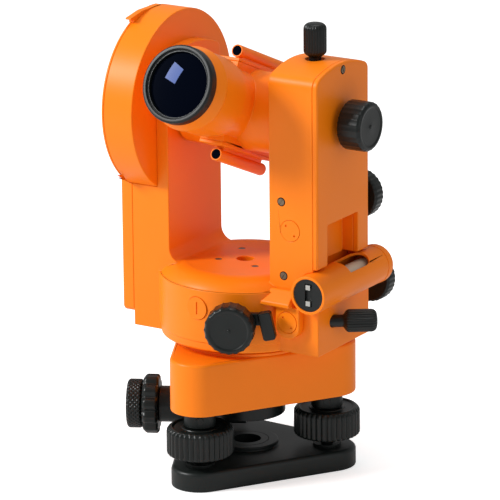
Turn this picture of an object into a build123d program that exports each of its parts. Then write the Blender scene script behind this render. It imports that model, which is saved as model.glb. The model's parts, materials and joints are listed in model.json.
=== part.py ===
from build123d import *
import os
from math import cos, sin, radians, sqrt

# Optical theodolite. Millimetres, +Z up, -Y is the objective side, +X the focusing-knob side.
# The origin is the centre of the tripod thread in the underside of the base plate.

os.makedirs("parts", exist_ok=True)

# ---------------------------------------------------------------- clearances
RUN = 0.05                 # radial running clearance of a shaft in its bore
GAP = 0.4                  # gap between pieces that pass each other
BITE = 1.5                 # how far a stem reaches into the piece that it is fixed in
CAP_PROUD = 0.15           # how far a cap stands out of its seat
HEAD_PROUD = 0.2           # how far a screw head stands out of a case
SLOT_WIDTH = 0.6
SLOT_DEPTH = 0.8           # twice the depth of a screw slot, which is centred on the head's face

# ---------------------------------------------------------------- base plate and foot screws
foot_circle_r = 39.7       # foot screws from the vertical axis
tribrach_yaw = -3.0        # turn of the three-armed base against the standards, degrees
corner_r = 14.3            # rounding of the triangle about each foot screw
base_thick = 10.0
base_edge_r = 2.2
boss_r = 15.5              # round boss in the middle of the base plate
boss_height = 2.0
tripod_thread_r = 6.9      # 5/8 inch tripod thread, bored to its minor diameter
tripod_bush_r = 10.5
foot_ball_r = 4.0
foot_stem_r = 3.0
foot_knob_r = 16.4
foot_knob_z = 16.0
foot_knob_height = 14.0
foot_knob_chamfer = 1.6
collar_r = 7.8

# ---------------------------------------------------------------- tribrach housing
housing_z = 38.5
housing_height = 26.5
housing_wall = 2.8
housing_edge_r = 1.6
floor_thick = 3.0          # black plate that closes the housing from below
hub_r = 19.2
hub_z = 27.0
axis_bush_r = 14.0
limb_sleeve_r = 11.0
spindle_r = 8.0
flange_r = 21.0            # flange on top of the spindle
flange_thick = 3.0
plumb_hole_r = 4.2
limb_control_z = 29.2
limb_control_angle = 210.0 + tribrach_yaw
limb_arm_r = 9.0
limb_arm_end = 43.1
limb_ring_r = 14.8
limb_ring_width = 7.8
limb_ring_lobes = 10
limb_knob_r = 12.2
limb_knob_width = 7.6
limb_shaft_r = 4.0

# ---------------------------------------------------------------- alidade drum and standards
drum_z = 69.0
drum_r = 42.0
drum_wall = 3.0
drum_ring_height = 4.2     # separate ring that closes the drum from below
platform_z = 105.0
platform_thick = 5.0
platform_flat_r = 28.0
shoulder_r = 41.2          # where the rounded platform shoulder meets the ledge
ledge_z = 99.6
circle_r = 34.5            # horizontal circle
circle_z = 90.0
glass_thick = 2.4
right_inner_x = 28.8
right_seam_x = 53.2
right_outer_x = 56.0
left_inner_x = -28.7
left_seam_x = -49.9
left_outer_x = -56.5
standard_half_depth = 24.0
standard_foot_z = 69.6
standard_top_z = 210.5
standard_arch_r = 59.0
front_corner_r = 6.0
back_corner_r = 4.0
inner_fillet_r = 7.0
standard_wall = 3.2
right_cavity_half = 40.0   # hollow of the right standard, below the tilting axis
tilt_axis_z = 180.6
cover_bottom_right = 112.9
cover_bottom_left = 76.2
cover_edge_r = 1.1
left_disc_edge_r = 0.8

# ---------------------------------------------------------------- vertical circle housing
vhousing_r = 45.2
vhousing_inner_x = -35.25
vhousing_seam_x = -51.6
vhousing_outer_x = -53.0    # outer face of the round part of the left cover
vhousing_wall = 3.0
vcircle_r = 37.0
rail_height = 0.3
rail_flat_front = -12.0    # flat top of the rail, y from and to
rail_flat_rear = 4.0
rail_inner_x = -49.8
rail_tip = (-22.7, 43.6)   # front tip of the rail: y, and height over the tilting axis
rail_tip_thick = 0.8

# ---------------------------------------------------------------- telescope
pitch = 23.0               # elevation of the telescope as it stands, degrees
objective_front = 64.4
objective_r = 19.0
objective_cell_length = 5.5
objective_lens_r = 15.6
lens_seat = 1.0            # rim of the cell behind the lens
lens_edge_thick = 2.4
lens_front_radius = 60.0
bell_lip = 52.0
bell_r = 20.7
bell_back = 34.0
waist_r = 17.0
axle_block_r = 19.5
axle_block_x = 27.4
body_bore_r = 14.0
bore_back = -14.0
rear_tube_r = 13.5
rear_tube_end = -44.0
eyepiece_ring_r = 12.0
eyepiece_end = -61.0
trunnion_r = 7.5
bearing_r = 10.5
focus_shaft_r = 2.6
focus_knob_r = 12.1
focus_knob_length = 12.6
focus_knob_off = 3.0       # knob in front of the cover, on a short neck
focus_neck_r = 5.0
focus_cell_length = 12.0
sight_offset = 25.5
sight_r = 3.1
sight_front = 17.0
sight_rear = -27.0
saddle_front = 24.0
saddle_rear = -23.0
saddle_thick = 1.6
saddle_half_width = 6.5
microscope_x = 19.6
microscope_height = 4.0
microscope_front = -14.0
microscope_bore_r = 2.4
microscope_r = 4.6
microscope_ring_r = 6.2
microscope_end = -54.0

# ---------------------------------------------------------------- controls on the standards
clamp_knob_r = 5.6
clamp_neck_r = 3.0
clamp_taper = 1.6
tilt_clamp_neck = 1.0       # bare neck below the grip, and the grip's length
tilt_clamp_grip = 16.6
base_clamp_neck = 4.4
base_clamp_grip = 16.6
tilt_clamp_x = 40.5
tangent_knob_r = 12.1
tangent_knob_width = 8.0
tangent_shaft_r = 2.2
tangent_depth = 12.0       # how far a slow-motion spindle reaches into the standard
tilt_tangent_x = 46.0
tilt_tangent_z = 137.0
tilt_tangent_off = 4.0     # knob behind the standard
base_tangent_x = 47.5
base_tangent_z = 92.3
base_tangent_off = 13.2    # knob behind the standard
base_clamp_y = -9.2
base_clamp_z = 84.1
base_clamp_angle = 35.0
clamp_inside = 9.0         # length of the base clamp's spindle inside the standard
drive_angle = -66.0
drive_z = 85.8
drive_face = 59.6
drive_knob_r = 12.2
drive_knob_width = 10.5
drive_shaft_r = 2.6
roller_r = circle_z - drive_z - RUN   # it runs on the underside of the circle's flange
roller_reach = 2.0         # how far it reaches in under the rim of the flange
roller_width = 3.0
lever_plane = 43.6
lever_thick = 3.4
lever_reach = 17.0
lever_finger = (6.2, 14.0)  # width and length of its finger
lever_finger_extra = 1.6   # thickness of the finger over the lever's

# ---------------------------------------------------------------- plate level
level_x = 54.4
level_z = 102.2
level_r = 9.5
level_wall = 1.4
level_front = -31.0
level_rear = 30.0
level_cap_r = 9.7
level_cap_length = 6.6
level_plug_thick = 3.0
vial_clear = 2.5           # from the tube's bore to the vial, filled at both ends by plug and cap
window_front = -3.0
window_rear = 17.5
window_half_width = 5.4
window_tilt = 18.0         # from straight up towards +X, degrees

# ---------------------------------------------------------------- pocket in the right cover
niche_wall = 2.0           # wall at both ends of the niche over the level
pocket_high = 133.3
pocket_depth = 9.0
pocket_front = -14.8
pocket_rear = 13.6

# ---------------------------------------------------------------- small pieces
lock_box_left = 20.0
lock_box_right = 44.0
lock_box_depth = 7.5       # in front of the standard
lock_box_bottom = 94.0
lock_box_top = 101.5
lock_box_bevel = 5.6
lug_x = 41.3
lug_z = 86.0
lug_drop = 1.6             # middle of the lug's round end below its cap
lug_half = 6.6
lug_depth = 4.5            # in front of the standard
pin_cap_r = 5.2
pin_cap_thick = 1.6
pin_cap_x = 40.6
pin_cap_z = 130.7
pin_hole_r = 0.5
pin_hole_offset = 2.3
slot_cap_r = 5.6
slot_cap_depth = 2.0
slot_cap_angle = -92.0
slot_cap_z = 90.3
screw_r = 1.7
front_screw_spots = ((35.7, 144.5), (36.8, 107.8))             # x, z
left_screw_spots = ((-18.0, 84.0), (18.0, 84.0), (0.0, 142.0))  # y, z
platform_screw_spots = ((-11.0, 14.5), (-11.0, -7.0), (11.0, -8.5), (11.0, 13.0))   # x, y
mirror_r = 9.5
mirror_x = -43.0
mirror_z = 112.0
mirror_thick = 2.0

X_AXIS = (1, 0, 0)
Y_AXIS = (0, 1, 0)
Z_AXIS = (0, 0, 1)
FRONTWARD = (0, -1, 0)
BOTTOM = (Align.CENTER, Align.CENTER, Align.MIN)


def rod(start, direction, radius, length):
    """A cylinder that starts at a point and runs along a direction."""
    return Plane(origin=start, z_dir=direction) * Cylinder(radius, length, align=BOTTOM)


def tube(start, direction, radius, bore, length):
    """A hollow cylinder, open at both ends."""
    return rod(start, direction, radius, length) - rod(start, direction, bore, length)


def block(low, high):
    """A box between two corners."""
    size = [b - a for a, b in zip(low, high)]
    return Pos(*low) * Box(*size, align=(Align.MIN, Align.MIN, Align.MIN))


def polar(radius, angle, z=0.0):
    return (radius * cos(radians(angle)), radius * sin(radians(angle)), z)


def foot_points(z):
    return [polar(foot_circle_r, angle + tribrach_yaw, z) for angle in (-90, 30, 150)]


def triangle_plate(z, height, radius, edge_r=0.0):
    """The rounded triangle of the base, as a plate with a rounded top edge."""
    corners = [point[:2] for point in foot_points(0)]
    outline = offset(Polygon(*corners, align=None), amount=radius, kind=Kind.ARC)
    plate = extrude(Pos(0, 0, z) * outline, amount=height)
    if edge_r:
        plate = fillet(plate.faces().sort_by(Axis.Z)[-1].edges(), edge_r)
    return plate


def save(node, shape):
    shape.label = node
    export_step(shape, "parts/" + node + ".step")


def group(shapes):
    return Compound(children=[solid for shape in shapes for solid in shape.solids()])


def round_knob(start, direction, radius, length, edge):
    """A knob with both rims broken."""
    body = rod(start, direction, radius, length)
    return chamfer(body.edges().filter_by(GeomType.CIRCLE), edge)


# ================================================================ base plate
knob_top = foot_knob_z + foot_knob_height
housing_top = housing_z + housing_height

base_plate = triangle_plate(0, base_thick, corner_r, base_edge_r)
base_plate += rod((0, 0, base_thick), Z_AXIS, boss_r, boss_height)
base_plate -= rod((0, 0, 0), Z_AXIS, tripod_bush_r, base_thick + boss_height)
ball_z = base_thick - foot_ball_r / 2
for point in foot_points(ball_z):
    base_plate -= Pos(*point) * Sphere(foot_ball_r)
    base_plate -= rod(point, Z_AXIS, foot_ball_r, base_thick)
save("base_plate", base_plate)

thread_length = base_thick + boss_height
save("tripod_bush", tube((0, 0, 0), Z_AXIS, tripod_bush_r, tripod_thread_r, thread_length))

stem_top = housing_z
stems = []
for point in foot_points(ball_z):
    stem = Pos(*point) * Sphere(foot_ball_r)
    stem += rod(point, Z_AXIS, foot_stem_r, stem_top - ball_z)
    stems.append(stem)
save("foot_stems", group(stems))

retainers = []
for point in foot_points(base_thick):
    retainers.append(tube(point, Z_AXIS, foot_ball_r + 3.0, foot_stem_r + 0.6, 1.2))
retainers = [plate - Pos(p[0], p[1], ball_z) * Sphere(foot_ball_r + RUN)
             for plate, p in zip(retainers, foot_points(0))]
save("ball_retainers", group(retainers))

# ================================================================ foot screws
for letter, point in zip("abc", foot_points(foot_knob_z)):
    knob = rod(point, Z_AXIS, foot_knob_r, foot_knob_height)
    knob = chamfer(knob.edges().group_by(Axis.Z)[-1], foot_knob_chamfer)
    knob -= rod(point, Z_AXIS, foot_stem_r + RUN, foot_knob_height)
    save("foot_screw_" + letter, knob)

collar_z = knob_top + GAP
collar_height = housing_z - collar_z
collars = [tube(point, Z_AXIS, collar_r, foot_stem_r, collar_height) for point in foot_points(collar_z)]
collar_screw_z = (collar_z + housing_z) / 2
collar_screws = []
for index, point in enumerate(foot_points(collar_screw_z)):
    out = polar(1, -58)
    seat = (point[0] + out[0] * (collar_r - BITE), point[1] + out[1] * (collar_r - BITE), collar_screw_z)
    screw = rod(seat, out, screw_r, BITE + 0.3)
    collars[index] -= screw
    collar_screws.append(screw)
save("foot_collars", group(collars))
save("collar_screws", group(collar_screws))

# ================================================================ tribrach housing and hub
housing = triangle_plate(housing_z, housing_height, corner_r, housing_edge_r)
housing -= triangle_plate(housing_z, housing_height - housing_wall, corner_r - housing_wall)
housing += rod((0, 0, housing_top), Z_AXIS, circle_r, 1.6)
housing -= rod((0, 0, housing_z), Z_AXIS, axis_bush_r, housing_height + 3)
save("tribrach_housing", housing)

control_dir = polar(1, limb_control_angle)
arm_start = (0, 0, limb_control_z)
floor_plate = triangle_plate(housing_z, floor_thick, corner_r - housing_wall)
floor_plate -= rod((0, 0, housing_z), Z_AXIS, axis_bush_r, floor_thick)
save("housing_floor", floor_plate)
hub = rod((0, 0, hub_z), Z_AXIS, hub_r, housing_z - hub_z)
hub += rod(arm_start, control_dir, limb_arm_r, limb_arm_end)
hub -= rod((0, 0, hub_z), Z_AXIS, axis_bush_r, housing_z - hub_z)
hub -= rod(arm_start, control_dir, limb_shaft_r + RUN, limb_arm_end + 1)
nose_length = limb_ring_width + GAP
nose_start = polar(limb_arm_end, limb_control_angle, limb_control_z)
hub += tube(nose_start, control_dir, limb_arm_r - 2, limb_shaft_r + RUN, nose_length)
save("tribrach_hub", hub)

bush_top = housing_top + 1.6
save("axis_bush", tube((0, 0, hub_z), Z_AXIS, axis_bush_r, limb_sleeve_r + RUN, bush_top - hub_z))

ring_start = polar(limb_arm_end + GAP / 2, limb_control_angle, limb_control_z)
ring_plane = Plane(origin=ring_start, z_dir=control_dir)
limb_ring = rod(ring_start, control_dir, limb_ring_r, limb_ring_width)
for index in range(limb_ring_lobes):
    notch_at = Rot(0, 0, 360 * index / limb_ring_lobes) * Pos(limb_ring_r + 1.2, 0, 0)
    limb_ring -= ring_plane * notch_at * Cylinder(2.6, limb_ring_width, align=BOTTOM)
limb_ring -= rod(ring_start, control_dir, limb_arm_r - 2 + RUN, limb_ring_width)
save("limb_clamp_ring", limb_ring)

knob_start = limb_arm_end + nose_length + GAP / 2
limb_knob_at = polar(knob_start, limb_control_angle, limb_control_z)
limb_knob = round_knob(limb_knob_at, control_dir, limb_knob_r, limb_knob_width, 0.8)
shaft_start = axis_bush_r + GAP
shaft_at = polar(shaft_start, limb_control_angle, limb_control_z)
limb_knob += rod(shaft_at, control_dir, limb_shaft_r, knob_start - shaft_start)
save("limb_tangent_knob", limb_knob)

# ================================================================ limb: flanged sleeve and glass circle
sleeve_bottom = hub_z + 2
sleeve_top = circle_z
limb_sleeve = tube((0, 0, sleeve_bottom), Z_AXIS, limb_sleeve_r, spindle_r + RUN, sleeve_top - sleeve_bottom)
limb_sleeve += tube((0, 0, circle_z), Z_AXIS, circle_r, spindle_r + RUN, glass_thick)
save("limb_sleeve", limb_sleeve)
glass_z = circle_z + glass_thick
save("horizontal_circle", tube((0, 0, glass_z), Z_AXIS, circle_r - 0.8, limb_sleeve_r + 2, glass_thick))

# ================================================================ alidade: spindle, drum, standards
drum_ceiling = platform_z - platform_thick
flange_z = drum_ceiling - flange_thick
spindle_bottom = sleeve_bottom + 1
spindle = rod((0, 0, spindle_bottom), Z_AXIS, spindle_r, drum_ceiling - spindle_bottom)
spindle += rod((0, 0, flange_z), Z_AXIS, flange_r, flange_thick)
spindle -= rod((0, 0, spindle_bottom), Z_AXIS, plumb_hole_r, drum_ceiling)
screw_spots = [(*spot, flange_z) for spot in platform_screw_spots]
for spot in screw_spots:
    spindle -= rod(spot, Z_AXIS, screw_r, flange_thick)
save("vertical_spindle", spindle)


def arch_profile():
    """Side outline of a standard: straight sides, an arched top and two rounded corners."""
    d = standard_half_depth
    side_z = standard_top_z - standard_arch_r + sqrt(standard_arch_r ** 2 - d ** 2)
    outline = Polyline((-d, side_z), (-d, standard_foot_z), (d, standard_foot_z), (d, side_z))
    top = ThreePointArc((d, side_z), (0, standard_top_z), (-d, side_z))
    face = make_face(outline.edges() + top.edges())
    corners = face.vertices().group_by(Axis.Y)[-1].sort_by(Axis.X)
    face = fillet(corners[0], front_corner_r)
    corners = face.vertices().sort_by_distance((d, side_z, 0))
    return fillet(corners[0], back_corner_r)


ARCH = arch_profile()
front = -standard_half_depth


def standard_slab(x_low, x_high, z_low=standard_foot_z, z_high=standard_top_z + 1):
    """The standards' side outline, given a thickness in X and cut to a height."""
    slab = extrude(Plane.YZ.offset(x_low) * ARCH, amount=x_high - x_low)
    deep = standard_half_depth + 1
    if z_low > standard_foot_z or z_high < standard_top_z:
        slab &= block((x_low - 1, -deep, z_low), (x_high + 1, deep, z_high))
    return slab


drum_top = [(0, drum_z + drum_ring_height), (drum_r, drum_z + drum_ring_height), (drum_r, ledge_z),
            (shoulder_r, ledge_z)]
shoulder_mid = ((platform_flat_r + shoulder_r) / 2 + 2.0, (platform_z + ledge_z) / 2 + 1.6)
drum_lines = Polyline(*drum_top)
drum_lines += ThreePointArc((shoulder_r, ledge_z), shoulder_mid, (platform_flat_r, platform_z))
drum_lines += Polyline((platform_flat_r, platform_z), (0, platform_z), (0, drum_z + drum_ring_height))
drum = revolve(Plane.XZ * make_face(drum_lines.edges()), Axis.Z)

right_column = standard_slab(right_inner_x, right_seam_x)
left_column = standard_slab(left_seam_x, left_inner_x)
vhousing_space = rod((vhousing_inner_x, 0, tilt_axis_z), (-1, 0, 0), vhousing_r, 40)
left_column -= vhousing_space
foot_block_top = level_z - level_r - GAP
foot_block = block((right_seam_x, -standard_half_depth, standard_foot_z),
                   (right_outer_x, standard_half_depth, foot_block_top))

frame = drum + right_column + left_column + foot_block
# hollow corner between the left standard and the platform
web_x = left_inner_x + inner_fillet_r
web_z = platform_z + inner_fillet_r
web = block((left_inner_x, -standard_half_depth, ledge_z), (web_x, standard_half_depth, web_z))
web -= rod((web_x, -standard_half_depth - 1, web_z), Y_AXIS, inner_fillet_r, 2 * standard_half_depth + 2)
frame += web

# box of the circle-drive lock in front of the right foot, with a rounded lug below it
lock_box_front = front - lock_box_depth
lug_front = front - lug_depth
lock_box = block((lock_box_left, lock_box_front, lock_box_bottom), (lock_box_right, front, lock_box_top))
lock_box = chamfer(lock_box.edges().filter_by(Axis.X).group_by(Axis.Z)[-1].sort_by(Axis.Y)[0], lock_box_bevel)
lug = block((lug_x - lug_half, lug_front, lug_z - lug_drop), (lug_x + lug_half, front, lock_box_bottom))
lug += rod((lug_x, lug_front, lug_z - lug_drop), Y_AXIS, lug_half, front - lug_front)
lock_housing = lock_box + lug - drum

# inside of the drum and of the two standards
drum_inside = rod((0, 0, drum_z), Z_AXIS, drum_r - drum_wall, drum_ceiling - drum_z)
frame -= drum_inside
cavity_depth = standard_half_depth - standard_wall
frame -= block((right_inner_x + standard_wall + 1, -cavity_depth, tilt_axis_z - right_cavity_half),
               (right_seam_x, cavity_depth, tilt_axis_z + right_cavity_half / 2))
left_cavity_low = cover_bottom_left + 8
frame -= block((left_seam_x, -cavity_depth, left_cavity_low),
               (left_inner_x - standard_wall - 1, cavity_depth, tilt_axis_z - vhousing_r + 4))

# seat of the plate level, and the pocket above it
level_space = rod((level_x, level_front - 5, level_z), Y_AXIS, level_r, 80)
frame -= level_space
lock_housing -= rod((level_x, level_front - 5, level_z), Y_AXIS, level_r + GAP, 80)
niche_x = level_x - level_r
frame -= block((niche_x, -standard_half_depth + niche_wall, level_z),
               (right_outer_x, standard_half_depth - niche_wall, cover_bottom_right))
pocket_low = cover_bottom_right
deep_x = right_outer_x - pocket_depth
pocket = block((deep_x, pocket_front, pocket_low), (right_outer_x + 1, pocket_rear, pocket_high))
ramp_base = make_face(Polyline((pocket_front, pocket_low), (pocket_rear, pocket_low),
                               (pocket_rear, pocket_high), (pocket_front, pocket_low)).edges())
# the ramp narrows from half of the pocket's floor to its lower rear corner
ramp_tip = Pos(pocket_rear, pocket_low) * scale(Pos(-pocket_rear, -pocket_low) * ramp_base, 0.02)
ramp = loft([Plane.YZ.offset(deep_x) * ramp_base, Plane.YZ.offset(right_outer_x) * ramp_tip])
pocket -= ramp
frame -= pocket

# bores through the standards
frame -= rod((0, 0, drum_ceiling - 1), Z_AXIS, plumb_hole_r, platform_thick + 2)
for spot in screw_spots:
    frame -= rod((spot[0], spot[1], drum_ceiling - 1), Z_AXIS, screw_r, platform_thick + 2)
frame -= rod((left_seam_x - 1, 0, tilt_axis_z), X_AXIS, bearing_r, left_inner_x - left_seam_x + 2)
frame -= rod((right_inner_x - 1, 0, tilt_axis_z), X_AXIS, bearing_r, standard_wall + 3)
clamp_bottom = tilt_axis_z + bearing_r + 3
frame -= rod((tilt_clamp_x, 0, clamp_bottom), Z_AXIS, clamp_neck_r + RUN, standard_top_z)
frame -= rod((tilt_clamp_x, 0, standard_top_z - 1.6), Z_AXIS, clamp_knob_r - 1, 4)
for knob_x, knob_z in ((tilt_tangent_x, tilt_tangent_z), (base_tangent_x, base_tangent_z)):
    frame -= rod((knob_x, standard_half_depth - tangent_depth, knob_z), Y_AXIS, tangent_shaft_r + RUN, 30)
base_clamp_dir = polar(1, base_clamp_angle)
base_clamp_seat = (right_outer_x - clamp_inside * base_clamp_dir[0],
                   base_clamp_y - clamp_inside * base_clamp_dir[1], base_clamp_z)
frame -= rod(base_clamp_seat, base_clamp_dir, clamp_neck_r + RUN, 30)
drive_bore_at = polar(drum_r - drum_wall - 5, drive_angle, drive_z)
frame -= rod(drive_bore_at, polar(1, drive_angle), drive_shaft_r + RUN, 30)

# caps with two pin holes, on the front of the right standard and of the lug
caps = []
for spot in ((pin_cap_x, front, pin_cap_z), (lug_x, lug_front, lug_z + CAP_PROUD)):
    seat = (spot[0], spot[1] + pin_cap_thick - CAP_PROUD, spot[2])
    cap = rod(seat, FRONTWARD, pin_cap_r, pin_cap_thick)
    frame -= cap
    lock_housing -= cap
    for side in (-1, 1):
        pin_hole = (spot[0] + side * pin_hole_offset, spot[1] + pin_hole_r, spot[2] - side * pin_hole_offset)
        cap -= rod(pin_hole, FRONTWARD, pin_hole_r, pin_cap_thick)
    caps.append(cap)
save("drive_lock_housing", lock_housing)

# slotted cap on the drum
slot_cap_dir = polar(1, slot_cap_angle)
slot_cap_seat = polar(drum_r - slot_cap_depth, slot_cap_angle, slot_cap_z)
slot_cap = rod(slot_cap_seat, slot_cap_dir, slot_cap_r, slot_cap_depth + 2 * CAP_PROUD)
frame -= rod(slot_cap_seat, slot_cap_dir, slot_cap_r, slot_cap_depth + 5)
slot_at = polar(drum_r + 2 * CAP_PROUD, slot_cap_angle, slot_cap_z)
slot_cap -= Pos(*slot_at) * Rot(0, 0, slot_cap_angle) * Box(1.6, SLOT_WIDTH, 1.1 * slot_cap_r)
caps.append(slot_cap)
save("port_caps", group(caps))

# slotted screws on the front of the right standard
case_screws = []
for screw_x, screw_z in front_screw_spots:
    seat = (screw_x, front + BITE, screw_z)
    screw = rod(seat, FRONTWARD, screw_r, BITE + HEAD_PROUD)
    frame -= screw
    slot = Rot(0, 35, 0) * Box(SLOT_WIDTH, SLOT_DEPTH, 3 * screw_r)
    screw -= Pos(screw_x, front - HEAD_PROUD, screw_z) * slot
    case_screws.append(screw)

mirror_hinge_z = mirror_z + mirror_r + 4
light_port = rod((mirror_x, standard_half_depth - standard_wall - 1, mirror_z), Y_AXIS, mirror_r - 4, 10)
frame -= light_port
save("standards_frame", frame)

drum_ring = tube((0, 0, drum_z), Z_AXIS, drum_r - 0.4, limb_sleeve_r + 2, drum_ring_height)
drum_ring = fillet(drum_ring.edges().group_by(Axis.Z)[0].sort_by(SortBy.LENGTH)[-1], 1.2)
for column in (right_column, left_column, foot_block):
    drum_ring -= column
drum_ring -= rod((0, 0, drum_z), Z_AXIS, limb_sleeve_r + 2, drum_ring_height)
save("drum_ring", drum_ring)

platform_screws = []
for spot in screw_spots:
    head_z = platform_z - 1.2
    screw = rod(spot, Z_AXIS, screw_r, head_z - spot[2] + 1.0)
    platform_screws.append(screw)
save("platform_screws", group(platform_screws))

# ================================================================ covers
cover_right = standard_slab(right_seam_x, right_outer_x, z_low=cover_bottom_right)
outer_face = cover_right.faces().sort_by(Axis.X)[-1]
cover_right = fillet(outer_face.edges(), cover_edge_r)
cover_right -= pocket
cover_right -= rod((right_seam_x - 1, 0, tilt_axis_z), X_AXIS, focus_shaft_r + GAP, 8)
screw_z = standard_top_z - 3.6
screw = rod((right_seam_x, 0, screw_z), X_AXIS, screw_r, right_outer_x - right_seam_x + HEAD_PROUD)
cover_right -= screw
slot = Rot(30, 0, 0) * Box(SLOT_DEPTH, SLOT_WIDTH, 3 * screw_r)
screw -= Pos(right_outer_x + HEAD_PROUD, 0, screw_z) * slot
case_screws.append(screw)
save("right_cover", cover_right)

vhousing = rod((vhousing_inner_x, 0, tilt_axis_z), (-1, 0, 0), vhousing_r, vhousing_inner_x - vhousing_seam_x)
vhousing_inside_r = vhousing_r - vhousing_wall
vhousing -= rod((vhousing_inner_x - vhousing_wall, 0, tilt_axis_z), (-1, 0, 0), vhousing_inside_r, 40)
vhousing -= rod((vhousing_inner_x + 1, 0, tilt_axis_z), (-1, 0, 0), trunnion_r + GAP, 20)
save("circle_housing", vhousing)

disc_thick = vhousing_seam_x - vhousing_outer_x
left_cover = rod((vhousing_seam_x, 0, tilt_axis_z), (-1, 0, 0), vhousing_r, disc_thick)
left_cover = fillet(left_cover.edges().filter_by(GeomType.CIRCLE).sort_by(Axis.X)[0], left_disc_edge_r)
left_plate = block((left_outer_x, -standard_half_depth, cover_bottom_left),
                   (left_seam_x, standard_half_depth, tilt_axis_z - vhousing_r / 2))
left_plate = fillet(left_plate.edges().filter_by(Axis.X), 3.0)
left_plate = fillet(left_plate.faces().sort_by(Axis.X)[0].edges(), cover_edge_r)
left_plate -= rod((vhousing_seam_x, 0, tilt_axis_z), X_AXIS, vhousing_r, 10)
left_cover += left_plate
for screw_y, screw_z in left_screw_spots:
    screw = rod((left_outer_x + BITE, screw_y, screw_z), (-1, 0, 0), screw_r, BITE + HEAD_PROUD)
    left_cover -= screw
    slot = Rot(50, 0, 0) * Box(SLOT_DEPTH, SLOT_WIDTH, 3 * screw_r)
    screw -= Pos(left_outer_x - HEAD_PROUD, screw_y, screw_z) * slot
    case_screws.append(screw)
save("left_cover", left_cover)
save("case_screws", group(case_screws))

rail_top = tilt_axis_z + vhousing_r + rail_height
tip_y, tip_height = rail_tip
tip_z = tilt_axis_z + tip_height
rail_line = Polyline((tip_y, tip_z), (rail_flat_front, rail_top), (rail_flat_rear, rail_top),
                     (rail_flat_rear, tilt_axis_z), (tip_y + vhousing_wall, tilt_axis_z),
                     (tip_y + vhousing_wall, tip_z - 2 * rail_tip_thick), (tip_y, tip_z - rail_tip_thick),
                     (tip_y, tip_z))
rail_face = Plane.YZ.offset(vhousing_outer_x) * make_face(rail_line.edges())
rail = extrude(rail_face, amount=rail_inner_x - vhousing_outer_x)
rail -= rod((vhousing_inner_x, 0, tilt_axis_z), (-1, 0, 0), vhousing_r, 40)
save("compass_rail", rail)

# ================================================================ bearings of the tilting axis
axle_bearings = []
for low_x, high_x in ((vhousing_inner_x, left_inner_x), (right_inner_x, right_inner_x + standard_wall + 1)):
    axle_bearings.append(tube((low_x, 0, tilt_axis_z), X_AXIS, bearing_r, trunnion_r + RUN, high_x - low_x))
save("axle_bearings", group(axle_bearings))

# ================================================================ telescope, built level and then pitched
TILT = Pos(0, 0, tilt_axis_z) * Rot(-pitch, 0, 0)


def along(length, x=0.0, height=0.0):
    """A point in the level telescope: distance towards the objective, offset in X, height."""
    return (x, -length, height)


REARWARD = (0, 1, 0)
cell_back = objective_front - objective_cell_length
outline = Polyline((0, cell_back), (objective_r - 0.6, cell_back), (bell_r, bell_lip),
                   (bell_r - 0.8, bell_lip - 1.0), (bell_r - 0.8, bell_back), (waist_r, bell_back - 12),
                   (waist_r, bore_back), (rear_tube_r, bore_back - 9), (rear_tube_r, rear_tube_end),
                   (0, rear_tube_end), (0, cell_back))
body = revolve(Plane.XY * Rot(0, 0, 180) * make_face(outline.edges()), Axis.Y)
body += rod((-axle_block_x, 0, 0), X_AXIS, axle_block_r, 2 * axle_block_x)
saddle_z = axle_block_r + 0.2
for side in (-1, 1):
    pad = block((-saddle_half_width, -saddle_front, 0), (saddle_half_width, -saddle_rear, saddle_z))
    body += pad if side == 1 else Rot(0, 180, 0) * pad
eyepiece_bore_r = 8.0
body -= rod(along(cell_back), REARWARD, body_bore_r, cell_back - bore_back)
body -= rod(along(0), REARWARD, eyepiece_bore_r, 80)
body -= rod((-axle_block_x - 1, 0, 0), X_AXIS, trunnion_r, BITE + 7)
body -= rod((axle_block_x + 1, 0, 0), (-1, 0, 0), trunnion_r, BITE + 7)
body -= rod((body_bore_r - 1, 0, 0), X_AXIS, focus_shaft_r + RUN, 20)
body -= rod(along(microscope_front, microscope_x, microscope_height), REARWARD, microscope_r, 60)
save("telescope_body", TILT * body)

cell = rod(along(objective_front), REARWARD, objective_r, objective_cell_length)
cell = fillet(cell.edges().filter_by(GeomType.CIRCLE).sort_by(Axis.Y)[0], 1.2)
cell -= rod(along(objective_front), REARWARD, objective_lens_r, objective_cell_length - lens_seat)
cell -= rod(along(objective_front), REARWARD, body_bore_r, objective_cell_length)
save("objective_cell", TILT * cell)

lens_front = cell_back + lens_seat + lens_edge_thick
lens_sag = lens_front_radius - sqrt(lens_front_radius ** 2 - objective_lens_r ** 2)
dome_front = lens_front + lens_sag
lens = rod(along(dome_front), REARWARD, objective_lens_r, lens_sag + lens_edge_thick)
lens &= Pos(*along(dome_front - lens_front_radius)) * Sphere(lens_front_radius)
save("objective_lens", TILT * lens)

trunnion_seat = axle_block_x - BITE - 6
left_axle = rod((-trunnion_seat, 0, 0), (-1, 0, 0), trunnion_r, 22.0)
right_axle = tube((trunnion_seat, 0, 0), X_AXIS, trunnion_r, focus_shaft_r + RUN, 20.0)
save("trunnion_axles", TILT * group([left_axle, right_axle]))

left_axle_end = -trunnion_seat - 22.0
circle_hub = rod((left_axle_end, 0, 0), (-1, 0, 0), 14.0, 2.0)
save("vertical_circle_hub", TILT * circle_hub)
vertical_circle = rod((left_axle_end - 2.0, 0, 0), (-1, 0, 0), vcircle_r, glass_thick)
save("vertical_circle", TILT * vertical_circle)

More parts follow.
